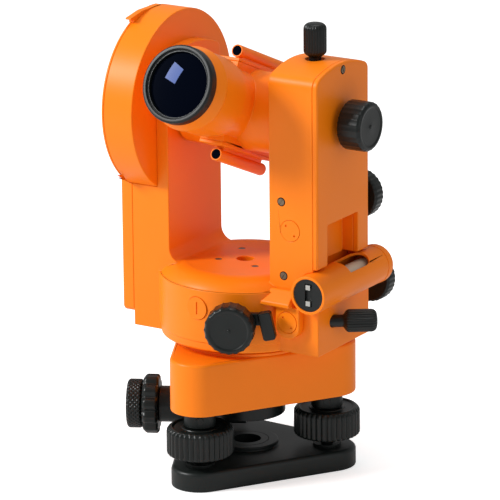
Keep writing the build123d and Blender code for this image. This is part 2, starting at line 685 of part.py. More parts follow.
saddles, sights, sight_lenses = [], [], []
for side in (-1, 1):
    plate = block((-saddle_half_width, -saddle_front, saddle_z),
                  (saddle_half_width, -saddle_rear, saddle_z + saddle_thick))
    web_top = sight_offset - sight_r + 0.8
    web = block((-2.0, -sight_front + 3, saddle_z), (2.0, -sight_rear - 4, web_top))
    sight = rod(along(sight_front, 0, sight_offset), REARWARD, sight_r, sight_front - sight_rear)
    window = rod(along(sight_front, 0, sight_offset), REARWARD, sight_r - 0.7, 1.5)
    eye = rod(along(sight_rear + 1.5, 0, sight_offset), REARWARD, sight_r - 0.7, 1.5)
    web -= sight
    sight -= window + eye
    turn = Rot(0, 0, 0) if side == 1 else Rot(0, 180, 0)
    saddles.append(TILT * turn * (plate + web))
    sights.append(TILT * turn * sight)
    sight_lenses.append(TILT * turn * window)
    sight_lenses.append(TILT * turn * eye)
save("sight_saddles", group(saddles))
save("sight_tubes", group(sights))
save("sight_windows", group(sight_lenses))

focus_cell = tube(along(8 + focus_cell_length / 2), REARWARD, body_bore_r - RUN, 10.0, focus_cell_length)
save("focus_cell", TILT * focus_cell)
focus_lens = rod(along(8 + 1.5), REARWARD, 10.0, 3.0)
save("focus_lens", TILT * focus_lens)

eyepiece_front = rear_tube_end + 14
eyepiece_tube = tube(along(eyepiece_front), REARWARD, eyepiece_bore_r, 5.0, eyepiece_front - eyepiece_end - 3)
save("eyepiece_tube", TILT * eyepiece_tube)
ring_front = rear_tube_end - GAP
eyepiece_ring = round_knob(along(ring_front), REARWARD, eyepiece_ring_r, ring_front - eyepiece_end, 0.8)
eyepiece_ring -= rod(along(rear_tube_end), REARWARD, eyepiece_bore_r + RUN, rear_tube_end - eyepiece_end - 2)
eyepiece_ring -= rod(along(rear_tube_end), REARWARD, 4.5, 40)
save("eyepiece_ring", TILT * eyepiece_ring)
save("eyepiece_lens", TILT * rod(along(eyepiece_end + 5), REARWARD, 5.0, 2.0))

microscope_length = microscope_front - microscope_end - 2
microscope_at = along(microscope_front, microscope_x, microscope_height)
microscope = rod(microscope_at, REARWARD, microscope_r, microscope_length)
bore_at = along(microscope_front - 2, microscope_x, microscope_height)
microscope -= rod(bore_at, REARWARD, microscope_bore_r, 60)
save("reading_microscope", TILT * microscope)
mic_ring_start = microscope_end + 9
mic_ring_at = along(mic_ring_start, microscope_x, microscope_height)
mic_ring_length = mic_ring_start - microscope_end
mic_ring = round_knob(mic_ring_at, REARWARD, microscope_ring_r, mic_ring_length, 0.6)
mic_ring -= rod(mic_ring_at, REARWARD, microscope_r + RUN, mic_ring_length - 1.5)
mic_ring -= rod(mic_ring_at, REARWARD, microscope_bore_r, mic_ring_length)
save("microscope_ring", TILT * mic_ring)

knob_base = right_outer_x + focus_knob_off
focus = round_knob((knob_base, 0, 0), X_AXIS, focus_knob_r, focus_knob_length, 0.8)
focus += rod((right_outer_x + GAP, 0, 0), X_AXIS, focus_neck_r, focus_knob_off)
focus += rod((body_bore_r + 0.6, 0, 0), X_AXIS, focus_shaft_r, knob_base - body_bore_r)
save("focus_knob", TILT * focus)


# ================================================================ knobs on the standards
def clamp_knob(seat, direction, inside, neck, grip_length):
    """A slim clamp knob: fluted grip, tapered neck and a spindle that runs into the casting."""
    plane = Plane(origin=seat, z_dir=direction)
    taper_start = inside + neck
    knob = rod(seat, direction, clamp_neck_r, taper_start)
    knob += plane * Pos(0, 0, taper_start) * Cone(clamp_neck_r, clamp_knob_r, clamp_taper, align=BOTTOM)
    grip = plane * Pos(0, 0, taper_start + clamp_taper) * Cylinder(
        clamp_knob_r, grip_length - clamp_taper, align=BOTTOM)
    grip = chamfer(grip.edges().filter_by(GeomType.CIRCLE).sort_by_distance(seat)[-1], 1.0)
    return knob + grip


top_seat = clamp_bottom + 1.0
save("tilt_clamp_knob", clamp_knob((tilt_clamp_x, 0, top_seat), Z_AXIS, standard_top_z - top_seat,
                                   tilt_clamp_neck, tilt_clamp_grip))
save("base_clamp_knob", clamp_knob(base_clamp_seat, base_clamp_dir, clamp_inside,
                                   base_clamp_neck, base_clamp_grip))

for node, knob_x, knob_z, off in (("tilt_tangent_knob", tilt_tangent_x, tilt_tangent_z, tilt_tangent_off),
                                  ("base_tangent_knob", base_tangent_x, base_tangent_z, base_tangent_off)):
    knob_y = standard_half_depth + off
    shaft_y = standard_half_depth - tangent_depth + 0.5
    knob = round_knob((knob_x, knob_y, knob_z), Y_AXIS, tangent_knob_r, tangent_knob_width, 1.0)
    knob += rod((knob_x, shaft_y, knob_z), Y_AXIS, tangent_shaft_r, knob_y - shaft_y)
    save(node, knob)

drive_dir = polar(1, drive_angle)
drive_back = drive_face - drive_knob_width
drive = round_knob(polar(drive_back, drive_angle, drive_z), drive_dir, drive_knob_r, drive_knob_width, 0.8)
roller_start = circle_r - roller_reach
drive += rod(polar(roller_start, drive_angle, drive_z), drive_dir, drive_shaft_r, drive_back - roller_start)
drive += rod(polar(roller_start, drive_angle, drive_z), drive_dir, roller_r, roller_width)
save("circle_drive_knob", drive)

lever_at = polar(lever_plane, drive_angle, drive_z)
lever_place = Plane(origin=lever_at, x_dir=polar(1, drive_angle + 90), z_dir=drive_dir)
lever = Cylinder(6.5, lever_thick, align=BOTTOM)
lever += Pos(lever_reach / 2, 2.5, 0) * Box(lever_reach, 6.0, lever_thick, align=BOTTOM)
finger_thick = lever_thick + lever_finger_extra
finger = Pos(lever_reach, -0.5, 0) * Rot(0, 0, 12) * Box(*lever_finger, finger_thick, align=BOTTOM)
lever += fillet(finger.edges().filter_by(Axis.Z), 1.4)
lever -= Cylinder(drive_shaft_r + RUN, 12)
save("lock_lever", lever_place * lever)

# ================================================================ plate level
tube_length = level_rear - level_front
level_bore_r = level_r - level_wall
level_tube = tube((level_x, level_front, level_z), Y_AXIS, level_r, level_bore_r, tube_length)
window_shape = Pos(level_x, 0, level_z) * Rot(0, window_tilt, 0) * (
    block((-window_half_width, window_front, 0), (window_half_width, window_rear - window_half_width, 20))
    + rod((0, window_rear - window_half_width, 0), Z_AXIS, window_half_width, 20))
level_tube -= window_shape
save("level_tube", level_tube)
plug_y = level_front + 0.6
plug = rod((level_x, plug_y, level_z), Y_AXIS, level_bore_r, level_plug_thick)
plug -= block((level_x - 1.9, plug_y - 1, level_z - 5.6), (level_x + 1.9, plug_y + 1.2, level_z + 5.6))
level_screws = []
for side in (-1, 1):
    centre = (level_x, plug_y + 1.2, level_z + side * 4.0)
    level_screws.append(Pos(*centre) * Box(2.4, 1.6, 2.4, align=(Align.CENTER, Align.MAX, Align.CENTER)))
save("level_plug", plug)
save("level_screws", group(level_screws))
vial_front = plug_y + level_plug_thick
vial_r = level_bore_r - vial_clear
save("level_vial", rod((level_x, vial_front, level_z), Y_AXIS, vial_r, level_rear - vial_front))
level_cap = rod((level_x, level_rear, level_z), Y_AXIS, level_cap_r, level_cap_length)
level_cap = fillet(level_cap.edges().filter_by(GeomType.CIRCLE).sort_by(Axis.Y)[-1], 4.0)
level_cap += tube((level_x, level_rear - 4, level_z), Y_AXIS, level_bore_r, vial_r, 4)
save("level_end_cap", level_cap)

# ================================================================ light mirror on the back of the left standard
hinge_pin_r = 1.0
knuckle_r = 2.0
bracket_thick = 1.0
hinge_y = standard_half_depth + bracket_thick + knuckle_r + GAP
ear_x = 5.0
bracket = block((mirror_x - 8, standard_half_depth, mirror_hinge_z - 3),
                (mirror_x + 8, standard_half_depth + bracket_thick, mirror_hinge_z + 3))
for side in (-1, 1):
    low_x = mirror_x + side * ear_x - 1
    bracket += block((low_x, standard_half_depth, mirror_hinge_z - 2),
                     (low_x + 2, hinge_y + 2, mirror_hinge_z + 2))
bracket += rod((mirror_x - ear_x, hinge_y, mirror_hinge_z), X_AXIS, hinge_pin_r, 2 * ear_x)
save("mirror_bracket", bracket)
knuckle_half = ear_x - 1 - GAP
frame_y = hinge_y - mirror_thick / 2
mirror_frame = rod((mirror_x, frame_y, mirror_z), Y_AXIS, mirror_r, mirror_thick)
mirror_frame += block((mirror_x - knuckle_half, frame_y, mirror_z + mirror_r - 3),
                      (mirror_x + knuckle_half, frame_y + mirror_thick, mirror_hinge_z))
mirror_frame += rod((mirror_x - knuckle_half, hinge_y, mirror_hinge_z), X_AXIS, knuckle_r, 2 * knuckle_half)
mirror_frame -= rod((mirror_x - ear_x, hinge_y, mirror_hinge_z), X_AXIS, hinge_pin_r + RUN, 2 * ear_x)
mirror_seat = rod((mirror_x, frame_y - 1, mirror_z), Y_AXIS, mirror_r - 1.2, 1.8)
mirror_frame -= mirror_seat
save("mirror_frame", mirror_frame)
save("mirror_glass", rod((mirror_x, frame_y, mirror_z), Y_AXIS, mirror_r - 1.2, 0.8))
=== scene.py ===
import json
import bmesh
import bpy
import numpy as np
from mathutils import Matrix, Vector


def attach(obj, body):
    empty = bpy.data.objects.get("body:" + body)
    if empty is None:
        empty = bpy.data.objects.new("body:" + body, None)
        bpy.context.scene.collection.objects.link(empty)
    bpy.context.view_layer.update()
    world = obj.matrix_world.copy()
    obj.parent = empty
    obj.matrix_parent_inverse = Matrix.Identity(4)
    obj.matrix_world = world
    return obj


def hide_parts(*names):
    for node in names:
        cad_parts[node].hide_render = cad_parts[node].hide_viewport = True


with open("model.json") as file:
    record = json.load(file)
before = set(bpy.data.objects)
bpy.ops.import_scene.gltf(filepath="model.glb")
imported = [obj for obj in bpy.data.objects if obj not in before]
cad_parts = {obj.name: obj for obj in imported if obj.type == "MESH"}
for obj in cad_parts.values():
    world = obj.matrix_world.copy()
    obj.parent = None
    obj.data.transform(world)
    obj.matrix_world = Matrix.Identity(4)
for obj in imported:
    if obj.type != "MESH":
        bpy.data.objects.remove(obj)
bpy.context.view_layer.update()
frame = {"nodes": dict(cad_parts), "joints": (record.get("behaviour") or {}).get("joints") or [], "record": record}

# Optical theodolite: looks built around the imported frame. Lengths in the dictionaries are millimetres,
# but metres for the floor's half width and the lamps; angles are degrees. +Z is up, -Y the objective
# side, +X the side of the focusing knob.
mm = 0.001
nodes = frame["nodes"]
joints = {joint["name"]: joint for joint in frame["joints"]}
bodyOf = {node: body for body, members in frame["record"]["behaviour"]["bodies"].items() for node in members}
print("frame loaded:", len(nodes), "nodes")

# shader groups, each built once and placed in the materials that use it


def newGroup(name, inputs, outputs):
    # an empty node group with float or colour sockets, given as (name, type, default)
    group = bpy.data.node_groups.new(name, "ShaderNodeTree")
    for label, kind, start in inputs:
        socket = group.interface.new_socket(label, in_out="INPUT", socket_type="NodeSocket" + kind)
        if start is not None:
            socket.default_value = start
    for label, kind in outputs:
        group.interface.new_socket(label, in_out="OUTPUT", socket_type="NodeSocket" + kind)
    return group, group.nodes.new("NodeGroupInput"), group.nodes.new("NodeGroupOutput")


def addNode(tree, kind, **values):
    # one shader node with its properties or numbered inputs set
    node = tree.nodes.new("ShaderNode" + kind)
    for key, value in values.items():
        if key.startswith("in"):
            node.inputs[int(key[2:])].default_value = value
        else:
            setattr(node, key, value)
    return node


def mathNode(tree, operation, first, second, clamp=False):
    # arithmetic on two sockets or numbers
    node = addNode(tree, "Math", operation=operation, use_clamp=clamp)
    for slot, value in enumerate((first, second)):
        if isinstance(value, (int, float)):
            node.inputs[slot].default_value = value
        else:
            tree.links.new(value, node.inputs[slot])
    return node.outputs[0]


def noiseAt(tree, scale, detail):
    # noise on the piece's own coordinates; scale is in waves per metre, a number or a socket
    place = addNode(tree, "TexCoord")
    noise = addNode(tree, "TexNoise")
    noise.inputs["Detail"].default_value = detail
    tree.links.new(place.outputs["Object"], noise.inputs["Vector"])
    if isinstance(scale, (int, float)):
        noise.inputs["Scale"].default_value = scale
    else:
        tree.links.new(scale, noise.inputs["Scale"])
    return noise.outputs[0]


grainLook = dict(fine=2200.0, fineDetail=1.5, broad=40.0, broadDetail=3.0, tone=0.06)


def makeGrainGroup():
    # orange peel of sprayed enamel or moulded plastic: a fine noise for height, a broad one for tone
    look = grainLook
    sockets = [("Fine", "Float", look["fine"]), ("Tone", "Float", look["tone"])]
    group, put, out = newGroup("surfaceGrain", sockets, [("Height", "Float"), ("Shade", "Float")])
    fine = noiseAt(group, put.outputs["Fine"], look["fineDetail"])
    broad = noiseAt(group, look["broad"], look["broadDetail"])
    centred = mathNode(group, "SUBTRACT", broad, 0.5)
    shade = mathNode(group, "ADD", mathNode(group, "MULTIPLY", centred, put.outputs["Tone"]), 1.0)
    group.links.new(fine, out.inputs["Height"])
    group.links.new(shade, out.inputs["Shade"])
    return group


edgeLook = dict(radius=0.4, amount=0.5, contrast=6.0, patches=260.0, patchDetail=4.0, samples=4)


def makeEdgeGroup():
    # worn edges: where a normal rounded over a small radius leaves the true normal, broken up by noise
    look = edgeLook
    group, put, out = newGroup("edgeWear", [("Amount", "Float", look["amount"])], [("Mask", "Float")])
    rounded = addNode(group, "Bevel", samples=look["samples"])
    rounded.inputs["Radius"].default_value = look["radius"] * mm
    true = addNode(group, "NewGeometry")
    dot = addNode(group, "VectorMath", operation="DOT_PRODUCT")
    group.links.new(rounded.outputs[0], dot.inputs[0])
    group.links.new(true.outputs["Normal"], dot.inputs[1])
    away = mathNode(group, "SUBTRACT", 1.0, dot.outputs["Value"])
    patches = noiseAt(group, look["patches"], look["patchDetail"])
    broken = mathNode(group, "MULTIPLY", mathNode(group, "MULTIPLY", away, look["contrast"]), patches)
    worn = mathNode(group, "MULTIPLY", broken, put.outputs["Amount"], clamp=True)
    group.links.new(worn, out.inputs["Mask"])
    return group


dustLook = dict(amount=0.1, flatness=3.0, patches=90.0, patchDetail=5.0, rough=0.3,
                colour=(0.42, 0.40, 0.36))


def makeDustGroup():
    # faint dust on faces that look up
    look = dustLook
    group, put, out = newGroup("topDust", [("Amount", "Float", look["amount"])], [("Mask", "Float")])
    normal = addNode(group, "NewGeometry")
    split = addNode(group, "SeparateXYZ")
    group.links.new(normal.outputs["Normal"], split.inputs[0])
    upward = mathNode(group, "POWER", mathNode(group, "MAXIMUM", split.outputs["Z"], 0.0), look["flatness"])
    spread = mathNode(group, "MULTIPLY", upward, noiseAt(group, look["patches"], look["patchDetail"]))
    dusty = mathNode(group, "MULTIPLY", spread, put.outputs["Amount"], clamp=True)
    group.links.new(dusty, out.inputs["Mask"])
    return group


grainGroup = makeGrainGroup()
edgeGroup = makeEdgeGroup()
dustGroup = makeDustGroup()


def placeGroup(tree, group, **values):
    # a group placed in a material, with its named inputs set
    node = tree.nodes.new("ShaderNodeGroup")
    node.node_tree = group
    for key, value in values.items():
        node.inputs[key].default_value = value
    return node


def tinted(tree, mask, base, colour):
    # a colour socket that a mask turns towards a plain colour
    node = addNode(tree, "Mix", data_type="RGBA")
    tree.links.new(mask, node.inputs[0])
    tree.links.new(base, node.inputs[6])
    node.inputs[7].default_value = (*colour, 1.0)
    return node.outputs[2]


bumpDepth = 0.1


def coatedMaterial(name, look):
    # enamel, anodising, moulded plastic or bare metal: grain, tone, worn edges and dust over one base colour
    material = bpy.data.materials.new(name)
    material.use_nodes = True
    tree = material.node_tree
    shader = tree.nodes["Principled BSDF"]
    grain = placeGroup(tree, grainGroup, Fine=look.get("fine", grainLook["fine"]), Tone=look["tone"])
    edge = placeGroup(tree, edgeGroup, Amount=look["wear"])
    dust = placeGroup(tree, dustGroup, Amount=look["dust"])
    toned = addNode(tree, "VectorMath", operation="SCALE")
    toned.inputs[0].default_value = look["colour"]
    tree.links.new(grain.outputs["Shade"], toned.inputs["Scale"])
    worn = tinted(tree, edge.outputs["Mask"], toned.outputs[0], look["wornColour"])
    dusty = tinted(tree, dust.outputs["Mask"], worn, dustLook["colour"])
    tree.links.new(dusty, shader.inputs["Base Color"])
    clean = mathNode(tree, "MULTIPLY", grain.outputs["Shade"], look["rough"])
    dull = mathNode(tree, "MULTIPLY", dust.outputs["Mask"], dustLook["rough"])
    tree.links.new(mathNode(tree, "ADD", clean, dull), shader.inputs["Roughness"])
    bump = addNode(tree, "Bump")
    bump.inputs["Strength"].default_value = look["bump"]
    bump.inputs["Distance"].default_value = bumpDepth * mm
    tree.links.new(grain.outputs["Height"], bump.inputs["Height"])
    tree.links.new(bump.outputs["Normal"], shader.inputs["Normal"])
    shader.inputs["Metallic"].default_value = look.get("metal", 0.0)
    shader.inputs["Specular IOR Level"].default_value = look.get("specular", 0.5)
    return material


smearLook = dict(waves=120.0, detail=4.0)


def glassMaterial(name, look):
    # clear or coated glass: constants on the shader, faint smears in the roughness
    material = bpy.data.materials.new(name)
    material.use_nodes = True
    tree = material.node_tree
    shader = tree.nodes["Principled BSDF"]
    shader.inputs["Base Color"].default_value = (*look["colour"], 1.0)
    smear = mathNode(tree, "MULTIPLY", noiseAt(tree, smearLook["waves"], smearLook["detail"]), look["rough"])
    tree.links.new(smear, shader.inputs["Roughness"])
    shader.inputs["IOR"].default_value = look["ior"]
    shader.inputs["Transmission Weight"].default_value = look["clear"]
    shader.inputs["Specular Tint"].default_value = (*look.get("tint", (1.0, 1.0, 1.0)), 1.0)
    return material


# the finishes of the record's slots
finishes = {
    "orange_paint": coatedMaterial("orangePaint", dict(
        colour=(0.98, 0.222, 0.003), wornColour=(0.98, 0.34, 0.04), rough=0.40, bump=0.05,
        tone=0.05, wear=0.22, dust=0.012, specular=0.24)),
    "black_casting": coatedMaterial("blackCasting", dict(
        colour=(0.0062, 0.0092, 0.0085), wornColour=(0.05, 0.06, 0.06), rough=0.40, bump=0.16,
        fine=2600.0, tone=0.15, wear=0.35, dust=0.02, specular=0.32)),
    "black_knob": coatedMaterial("blackKnob", dict(
        colour=(0.0045, 0.0068, 0.0062), wornColour=(0.035, 0.042, 0.042), rough=0.34, bump=0.08,
        fine=3200.0, tone=0.12, wear=0.3, dust=0.015, specular=0.34)),
    "black_cell": coatedMaterial("blackCell", dict(
        colour=(0.0035, 0.005, 0.005), wornColour=(0.02, 0.02, 0.022), rough=0.40, bump=0.05,
        fine=2800.0, tone=0.1, wear=0.3, dust=0.01, specular=0.35)),
    "steel": coatedMaterial("brightSteel", dict(
        colour=(0.46, 0.45, 0.42), wornColour=(0.7, 0.69, 0.66), rough=0.30, bump=0.05,
        fine=3500.0, tone=0.2, wear=0.3, dust=0.02, metal=1.0)),
    "mirror_silver": coatedMaterial("mirrorSilver", dict(
        colour=(0.86, 0.87, 0.88), wornColour=(0.6, 0.6, 0.6), rough=0.04, bump=0.0,
        tone=0.02, wear=0.1, dust=0.03, metal=1.0)),
    "coated_glass": glassMaterial("coatedGlass", dict(
        colour=(0.30, 0.36, 0.62), rough=0.04, ior=1.55, clear=0.92, tint=(0.30, 0.36, 1.0))),
    "circle_glass": glassMaterial("circleGlass", dict(
        colour=(0.86, 0.93, 0.90), rough=0.05, ior=1.52, clear=1.0)),
    "vial_glass": glassMaterial("vialGlass", dict(
        colour=(0.80, 0.76, 0.58), rough=0.06, ior=1.47, clear=0.2)),
}

# finishes of single pieces
# lens glass: opaque and near-black, painted shade standing for the dark inside of the barrel seen through the
# glass; the blue of its reflections is the coating
lensGlass = glassMaterial("lensGlass", dict(
    colour=(0.0006, 0.0012, 0.003), rough=0.03, ior=1.22, clear=0.0, tint=(0.22, 0.36, 1.0)))
# deepBlack: the flat black of the barrel lining, and also the painted shade in the screw recesses
deepBlack = coatedMaterial("deepBlack", dict(
    colour=(0.0015, 0.0015, 0.0016), wornColour=(0.004, 0.004, 0.004), rough=0.75, bump=0.1,
    tone=0.1, wear=0.1, dust=0.0, specular=0.1))
paleMetal = coatedMaterial("paleMetal", dict(
    colour=(0.035, 0.037, 0.038), wornColour=(0.07, 0.07, 0.07), rough=0.34, bump=0.04,
    tone=0.1, wear=0.2, dust=0.0, metal=0.6))
# screw steel: its warm brown tint is a painted reflection of the orange casting in the heads; the lighter edges
# are wear
dullSteel = coatedMaterial("dullSteel", dict(
    colour=(0.20, 0.15, 0.10), wornColour=(0.45, 0.40, 0.34), rough=0.42, bump=0.06,
    tone=0.2, wear=0.4, dust=0.03, metal=0.8))
slotOf = {part["node"]: part["material_slot"] for part in frame["record"]["subparts"]}
print("materials done")


# surfaces
def setMaterial(piece, material):
    piece.data.materials.clear()
    piece.data.materials.append(material)


meshLook = dict(smoothUnder=32.0, merge=2e-7)  # degrees, metres


def meshPiece(name, points):
    # points[i, j] is profile point i at turn j; each cell of the grid becomes a face, the last column
    # joins the first, and the points that meet on the axis are merged
    rows, columns = points.shape[:2]
    row, column = np.meshgrid(np.arange(rows - 1), np.arange(columns), indexing="ij")
    here = row * columns + column
    beside = row * columns + (column + 1) % columns
    faces = np.stack([here, beside, beside + columns, here + columns], -1)
    mesh = bpy.data.meshes.new(name)
    mesh.from_pydata((points.reshape(-1, 3) * mm).tolist(), [], faces.reshape(-1, 4).tolist())
    work = bmesh.new()
    work.from_mesh(mesh)
    bmesh.ops.remove_doubles(work, verts=work.verts, dist=meshLook["merge"])
    bmesh.ops.recalc_face_normals(work, faces=work.faces)
    work.to_mesh(mesh)
    work.free()
    piece = bpy.data.objects.new(name, mesh)
    bpy.context.scene.collection.objects.link(piece)
    shadeByAngle(piece, meshLook["smoothUnder"])
    return piece


def shadeByAngle(piece, degrees):
    # smooth shading, broken where two faces meet at more than an angle
    mesh = piece.data
    mesh.polygons.foreach_set("use_smooth", np.ones(len(mesh.polygons), bool))
    work = bmesh.new()
    work.from_mesh(mesh)
    limit = np.radians(degrees)
    sharp = [edge.calc_face_angle(0.0) > limit for edge in work.edges]
    work.free()
    attribute = mesh.attributes.get("sharp_edge") or mesh.attributes.new("sharp_edge", "BOOLEAN", "EDGE")
    attribute.data.foreach_set("value", np.array(sharp, bool))


def frameAround(direction):
    # two unit vectors square to a direction, the second as upright as can be
    axis = np.array(direction, float)
    axis /= np.linalg.norm(axis)
    up = np.array((0.0, 0.0, 1.0)) if abs(axis[2]) < 0.9 else np.array((0.0, 1.0, 0.0))
    side = np.cross(up, axis)
    side /= np.linalg.norm(side)
    return side, np.cross(axis, side), axis


def rounded(corners, steps=4):
    # a profile whose corners (along, radius, rounding) are each replaced by a quadratic curve between
    # the two points at the rounding's distance from the corner
    line = []
    for index, (along, radius, cut) in enumerate(corners):
        here = np.array((along, radius), float)
        if cut <= 0.0 or index in (0, len(corners) - 1):
            line.append(here[None])
            continue
        before, after = (np.array(corners[index + step][:2], float) - here for step in (-1, 1))
        first = here + before * min(0.49, cut / np.linalg.norm(before))
        last = here + after * min(0.49, cut / np.linalg.norm(after))
        t = np.linspace(0.0, 1.0, steps + 1)[:, None]
        line.append((1 - t) ** 2 * first + 2 * t * (1 - t) * here + t ** 2 * last)
    return np.concatenate(line)


def turned(name, profile, start, direction, segments=96, shape=None):
    # a profile (along, radius) turned about an axis; shape(angle, along, radius) may cut the radius
    side, up, axis = frameAround(direction)
    angle = np.linspace(0.0, 2 * np.pi, segments, endpoint=False)
    along = np.repeat(profile[:, :1], segments, axis=1)
    radius = np.repeat(profile[:, 1:], segments, axis=1)
    if shape is not None:
        radius = shape(angle[None, :], along, radius)
    ring = np.cos(angle)[:, None] * side + np.sin(angle)[:, None] * up
    points = np.array(start, float) + along[..., None] * axis + radius[..., None] * ring[None]
    return meshPiece(name, points)


def span(node, origin, direction):
    # lowest and highest distance of a CAD node along an axis, and its largest radius about it, in mm
    points = np.empty(len(nodes[node].data.vertices) * 3, np.float32)
    nodes[node].data.vertices.foreach_get("co", points)
    away = points.reshape(-1, 3) / mm - np.array(origin)
    axis = np.array(direction, float) / np.linalg.norm(direction)
    along = away @ axis
    radius = np.linalg.norm(away - along[:, None] * axis, axis=1)
    return along.min(), along.max(), radius.max()


def onJoint(joint):
    # place and direction of a joint's axis, in mm
    return np.array(joints[joint]["pos_m"]) / mm, np.array(joints[joint]["axis"])


def finish(piece, material, body, *replaced, slot=None):
    # the piece's finish, the body it rides, the CAD nodes it stands for and its slot in the record, which is not
    # used
    setMaterial(piece, material if not isinstance(material, str) else finishes[material])
    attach(piece, body)
    if replaced:
        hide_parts(*replaced)
    return piece


def gripShare(radius, full, band, ramp):
    # 0 up to the radius that is a band below the full one, rising to 1 over the ramp
    return np.clip((radius - (full - band)) / ramp, 0.0, 1.0)


def flutes(count, depth, full, sharp, band=1.4):
    # rounded grooves along the axis: depth times (half plus half the cosine of count turns) to a power
    def cut(angle, along, radius):
        wave = (0.5 + 0.5 * np.cos(count * angle)) ** sharp
        return radius - depth * wave * gripShare(radius, full, band, 0.6 * band)
    return cut


def checks(count, pitch, depth, full, band=1.2, ramp=0.8):
    # a checkered grip: the larger of two cosines that climb along opposite helices stands proud
    def cut(angle, along, radius):
        first = np.cos(count * angle + 2 * np.pi * along / pitch)
        second = np.cos(count * angle - 2 * np.pi * along / pitch)
        hollow = 1.0 - 0.5 * (np.maximum(first, second) + 1.0)
        return radius - depth * hollow * gripShare(radius, full, band, ramp)
    return cut


def flats(count, depth, full, band=1.4):
    # flat sides: between two ribs the radius falls towards the chord, as one over the cosine of the turn
    def cut(angle, along, radius):
        turn = np.mod(angle, 2 * np.pi / count) - np.pi / count
        chord = np.cos(np.pi / count)
        fall = np.clip((1.0 - chord / np.cos(turn)) / (1.0 - chord), 0.0, 1.0)
        return radius - gripShare(radius, full, band, 0.6 * band) * (depth * fall)
    return cut


# castings: the width of the rounding of each node's sharp edges; angles tell sharp from flat
softLook = dict(segments=2, sharpOver=30.0, flatUnder=0.4)
castings = dict(
    lock_lever=0.6, sight_tubes=0.25, level_end_cap=0.3, level_plug=0.12, foot_collars=0.3,
    standards_frame=0.5, tribrach_housing=0.5, right_cover=0.45, left_cover=0.45, circle_housing=0.6,
    compass_rail=0.3, telescope_body=0.5, sight_saddles=0.3, drive_lock_housing=0.6, level_tube=0.3,
    base_plate=0.5, housing_floor=0.4, tribrach_hub=0.5, mirror_bracket=0.2, mirror_frame=0.3,
    port_caps=0.15)

cadMerge = 1e-6  # metres


def merged(node):
    # a working copy of a CAD node's mesh with its loose triangles joined
    work = bmesh.new()
    work.from_mesh(nodes[node].data)
    bmesh.ops.remove_doubles(work, verts=work.verts, dist=cadMerge)
    return work


def softened(node, width):
    # a merged copy of a CAD shape, its flat faces joined and its sharp edges rounded
    mesh = nodes[node].data.copy()
    work = merged(node)
    bmesh.ops.dissolve_limit(work, angle_limit=np.radians(softLook["flatUnder"]), verts=work.verts,
                             edges=work.edges, delimit=set())
    work.to_mesh(mesh)
    work.free()
    mesh.name = node + "Soft"
    piece = bpy.data.objects.new(node + "Soft", mesh)
    bpy.context.scene.collection.objects.link(piece)
    if "custom_normal" in mesh.attributes:
        mesh.attributes.remove(mesh.attributes["custom_normal"])
    shadeByAngle(piece, softLook["sharpOver"])
    bevel = piece.modifiers.new("rounding", "BEVEL")
    bevel.width = width * mm
    bevel.segments = softLook["segments"]
    bevel.limit_method = "ANGLE"
    bevel.angle_limit = np.radians(softLook["sharpOver"])
    bevel.use_clamp_overlap = False
    bevel.harden_normals = True
    bevel.miter_outer = "MITER_SHARP"
    return finish(piece, slotOf[node], bodyOf[node], node)


# carried-over nodes: the record's slots name their finish
for node, piece in nodes.items():
    setMaterial(piece, finishes[slotOf[node]])
# the case and platform screws: steel tinted with a painted reflection of the orange casting
for node in ("case_screws", "platform_screws"):
    setMaterial(nodes[node], dullSteel)
# the sight windows get the same near-black glass, painted shade for the dark behind them
setMaterial(nodes["sight_windows"], lensGlass)
for node, width in castings.items():
    softened(node, width)
print("castings softened:", len(castings))

# knobs, each on the axis of its own joint

rowLook = dict(fromBack=0.95, fromEdge=0.15, inset=0.05)


def withRows(profile, back, edge, full, rows):
    # the same profile with evenly spaced points along the grip, for a pattern that changes along it
    look = rowLook
    start, end = back + look["fromBack"], edge - look["fromEdge"]
    extra = np.linspace(start + look["inset"], end - look["inset"], rows)
    fresh = np.stack([extra, np.full_like(extra, full)], 1)
    keep = profile[(profile[:, 0] <= start) | (profile[:, 0] >= end)]
    split = int(np.argmax(keep[:, 0] >= end))
    return np.concatenate([keep[:split], fresh, keep[split:]])


knobShape = dict(dimple=0.5, wallIn=1.2, floorIn=1.9, backLean=0.8, backIn=1.0)


def knob(name, node, joint, look):
    # shaft, back, grip and face along the joint's axis; the grip ends where the CAD node does
    shape = knobShape
    origin, axis = onJoint(joint)
    low, high, full = span(node, origin, axis)
    back = high - look["grip"]
    edge = look["edge"]
    neckLength, neckRadius = look.get("neck", (0.0, 0.0))
    corners = [(low, 0.0, 0), (low, look["shaft"], 0.2)]
    if neckLength:
        corners += [(back - neckLength, look["shaft"], 0.2), (back - neckLength, neckRadius, 0.3),
                    (back, neckRadius, 0.3)]
    else:
        corners += [(back, look["shaft"], 0.3)]
    corners += [(back, full - look.get("backIn", shape["backIn"]), 0.4),
                (back + shape["backLean"], full, 0.5), (high - edge, full, 0.6 * edge),
                (high, full - edge, 0.6 * edge)]
    # the face: a wall down to the dish, and a dot in its middle
    floor = high - look["dish"]
    corners += [(high, full - edge - shape["wallIn"], 0.3), (floor, full - edge - shape["floorIn"], 0.3),
                (floor, look["dot"], 0.2), (floor + shape["dimple"], look["dot"] - 0.3, 0.2),
                (floor + shape["dimple"], 0.0, 0)]
    profile = rounded(corners)
    if look.get("rows"):
        profile = withRows(profile, back, high - edge, full, look["rows"])
    piece = turned(name, profile, origin, axis, look["segments"], look["shape"](full))
    return finish(piece, "black_knob", bodyOf[node], node)


